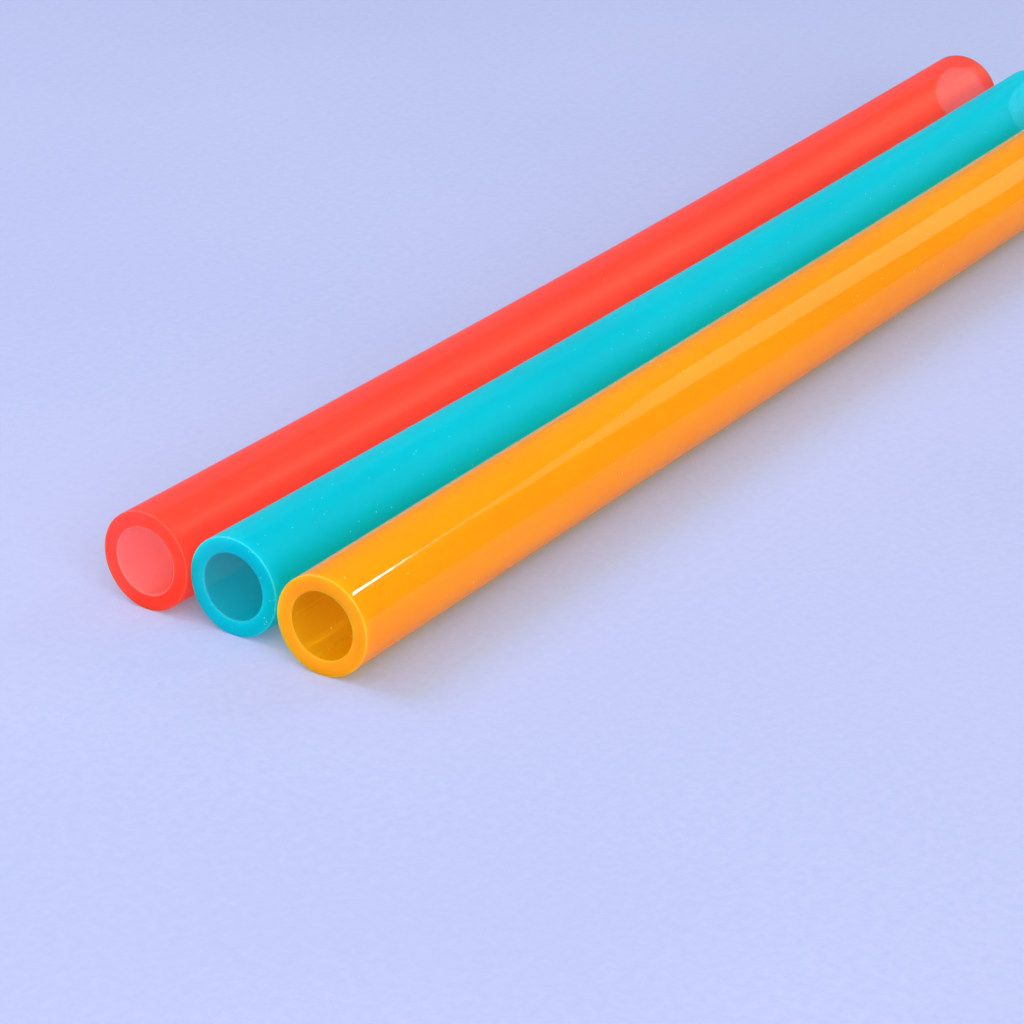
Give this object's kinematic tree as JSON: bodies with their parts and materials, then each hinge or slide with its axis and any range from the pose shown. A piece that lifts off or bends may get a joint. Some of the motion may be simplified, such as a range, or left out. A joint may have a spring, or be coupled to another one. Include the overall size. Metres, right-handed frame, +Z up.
{
  "type": "suction tube set",
  "caption": "Plain translucent soft plastic suction tubes with square-cut open ends, lying side by side on a flat surface.",
  "frame": {"origin": "centre of the underside of the set's bounding box, on the surface that the tubes lie on", "axes": "+X along the tubes, from the near ends to the far ends; +Y across the set, towards the red tube; +Z up"},
  "size_m": [0.1084, 0.0232, 0.0065],
  "materials": {
    "red_tube": "translucent red-orange soft plastic, satin skin",
    "cyan_tube": "translucent cyan soft plastic, matt skin",
    "amber_tube": "translucent amber soft plastic, glossy skin"
  },
  "bodies": {
    "middle_tube": {"cyan_tube": "cyan_tube"},
    "left_tube": {"red_tube": "red_tube"},
    "right_tube": {"amber_tube": "amber_tube"}
  },
  "joints": [
    {"name": "red_lift", "type": "slide", "parent": "middle_tube", "child": "left_tube", "axis": [0, 0, 1], "range_m": [0, 0.03]},
    {"name": "amber_lift", "type": "slide", "parent": "middle_tube", "child": "right_tube", "axis": [0, 0, 1], "range_m": [0, 0.03]}
  ]
}
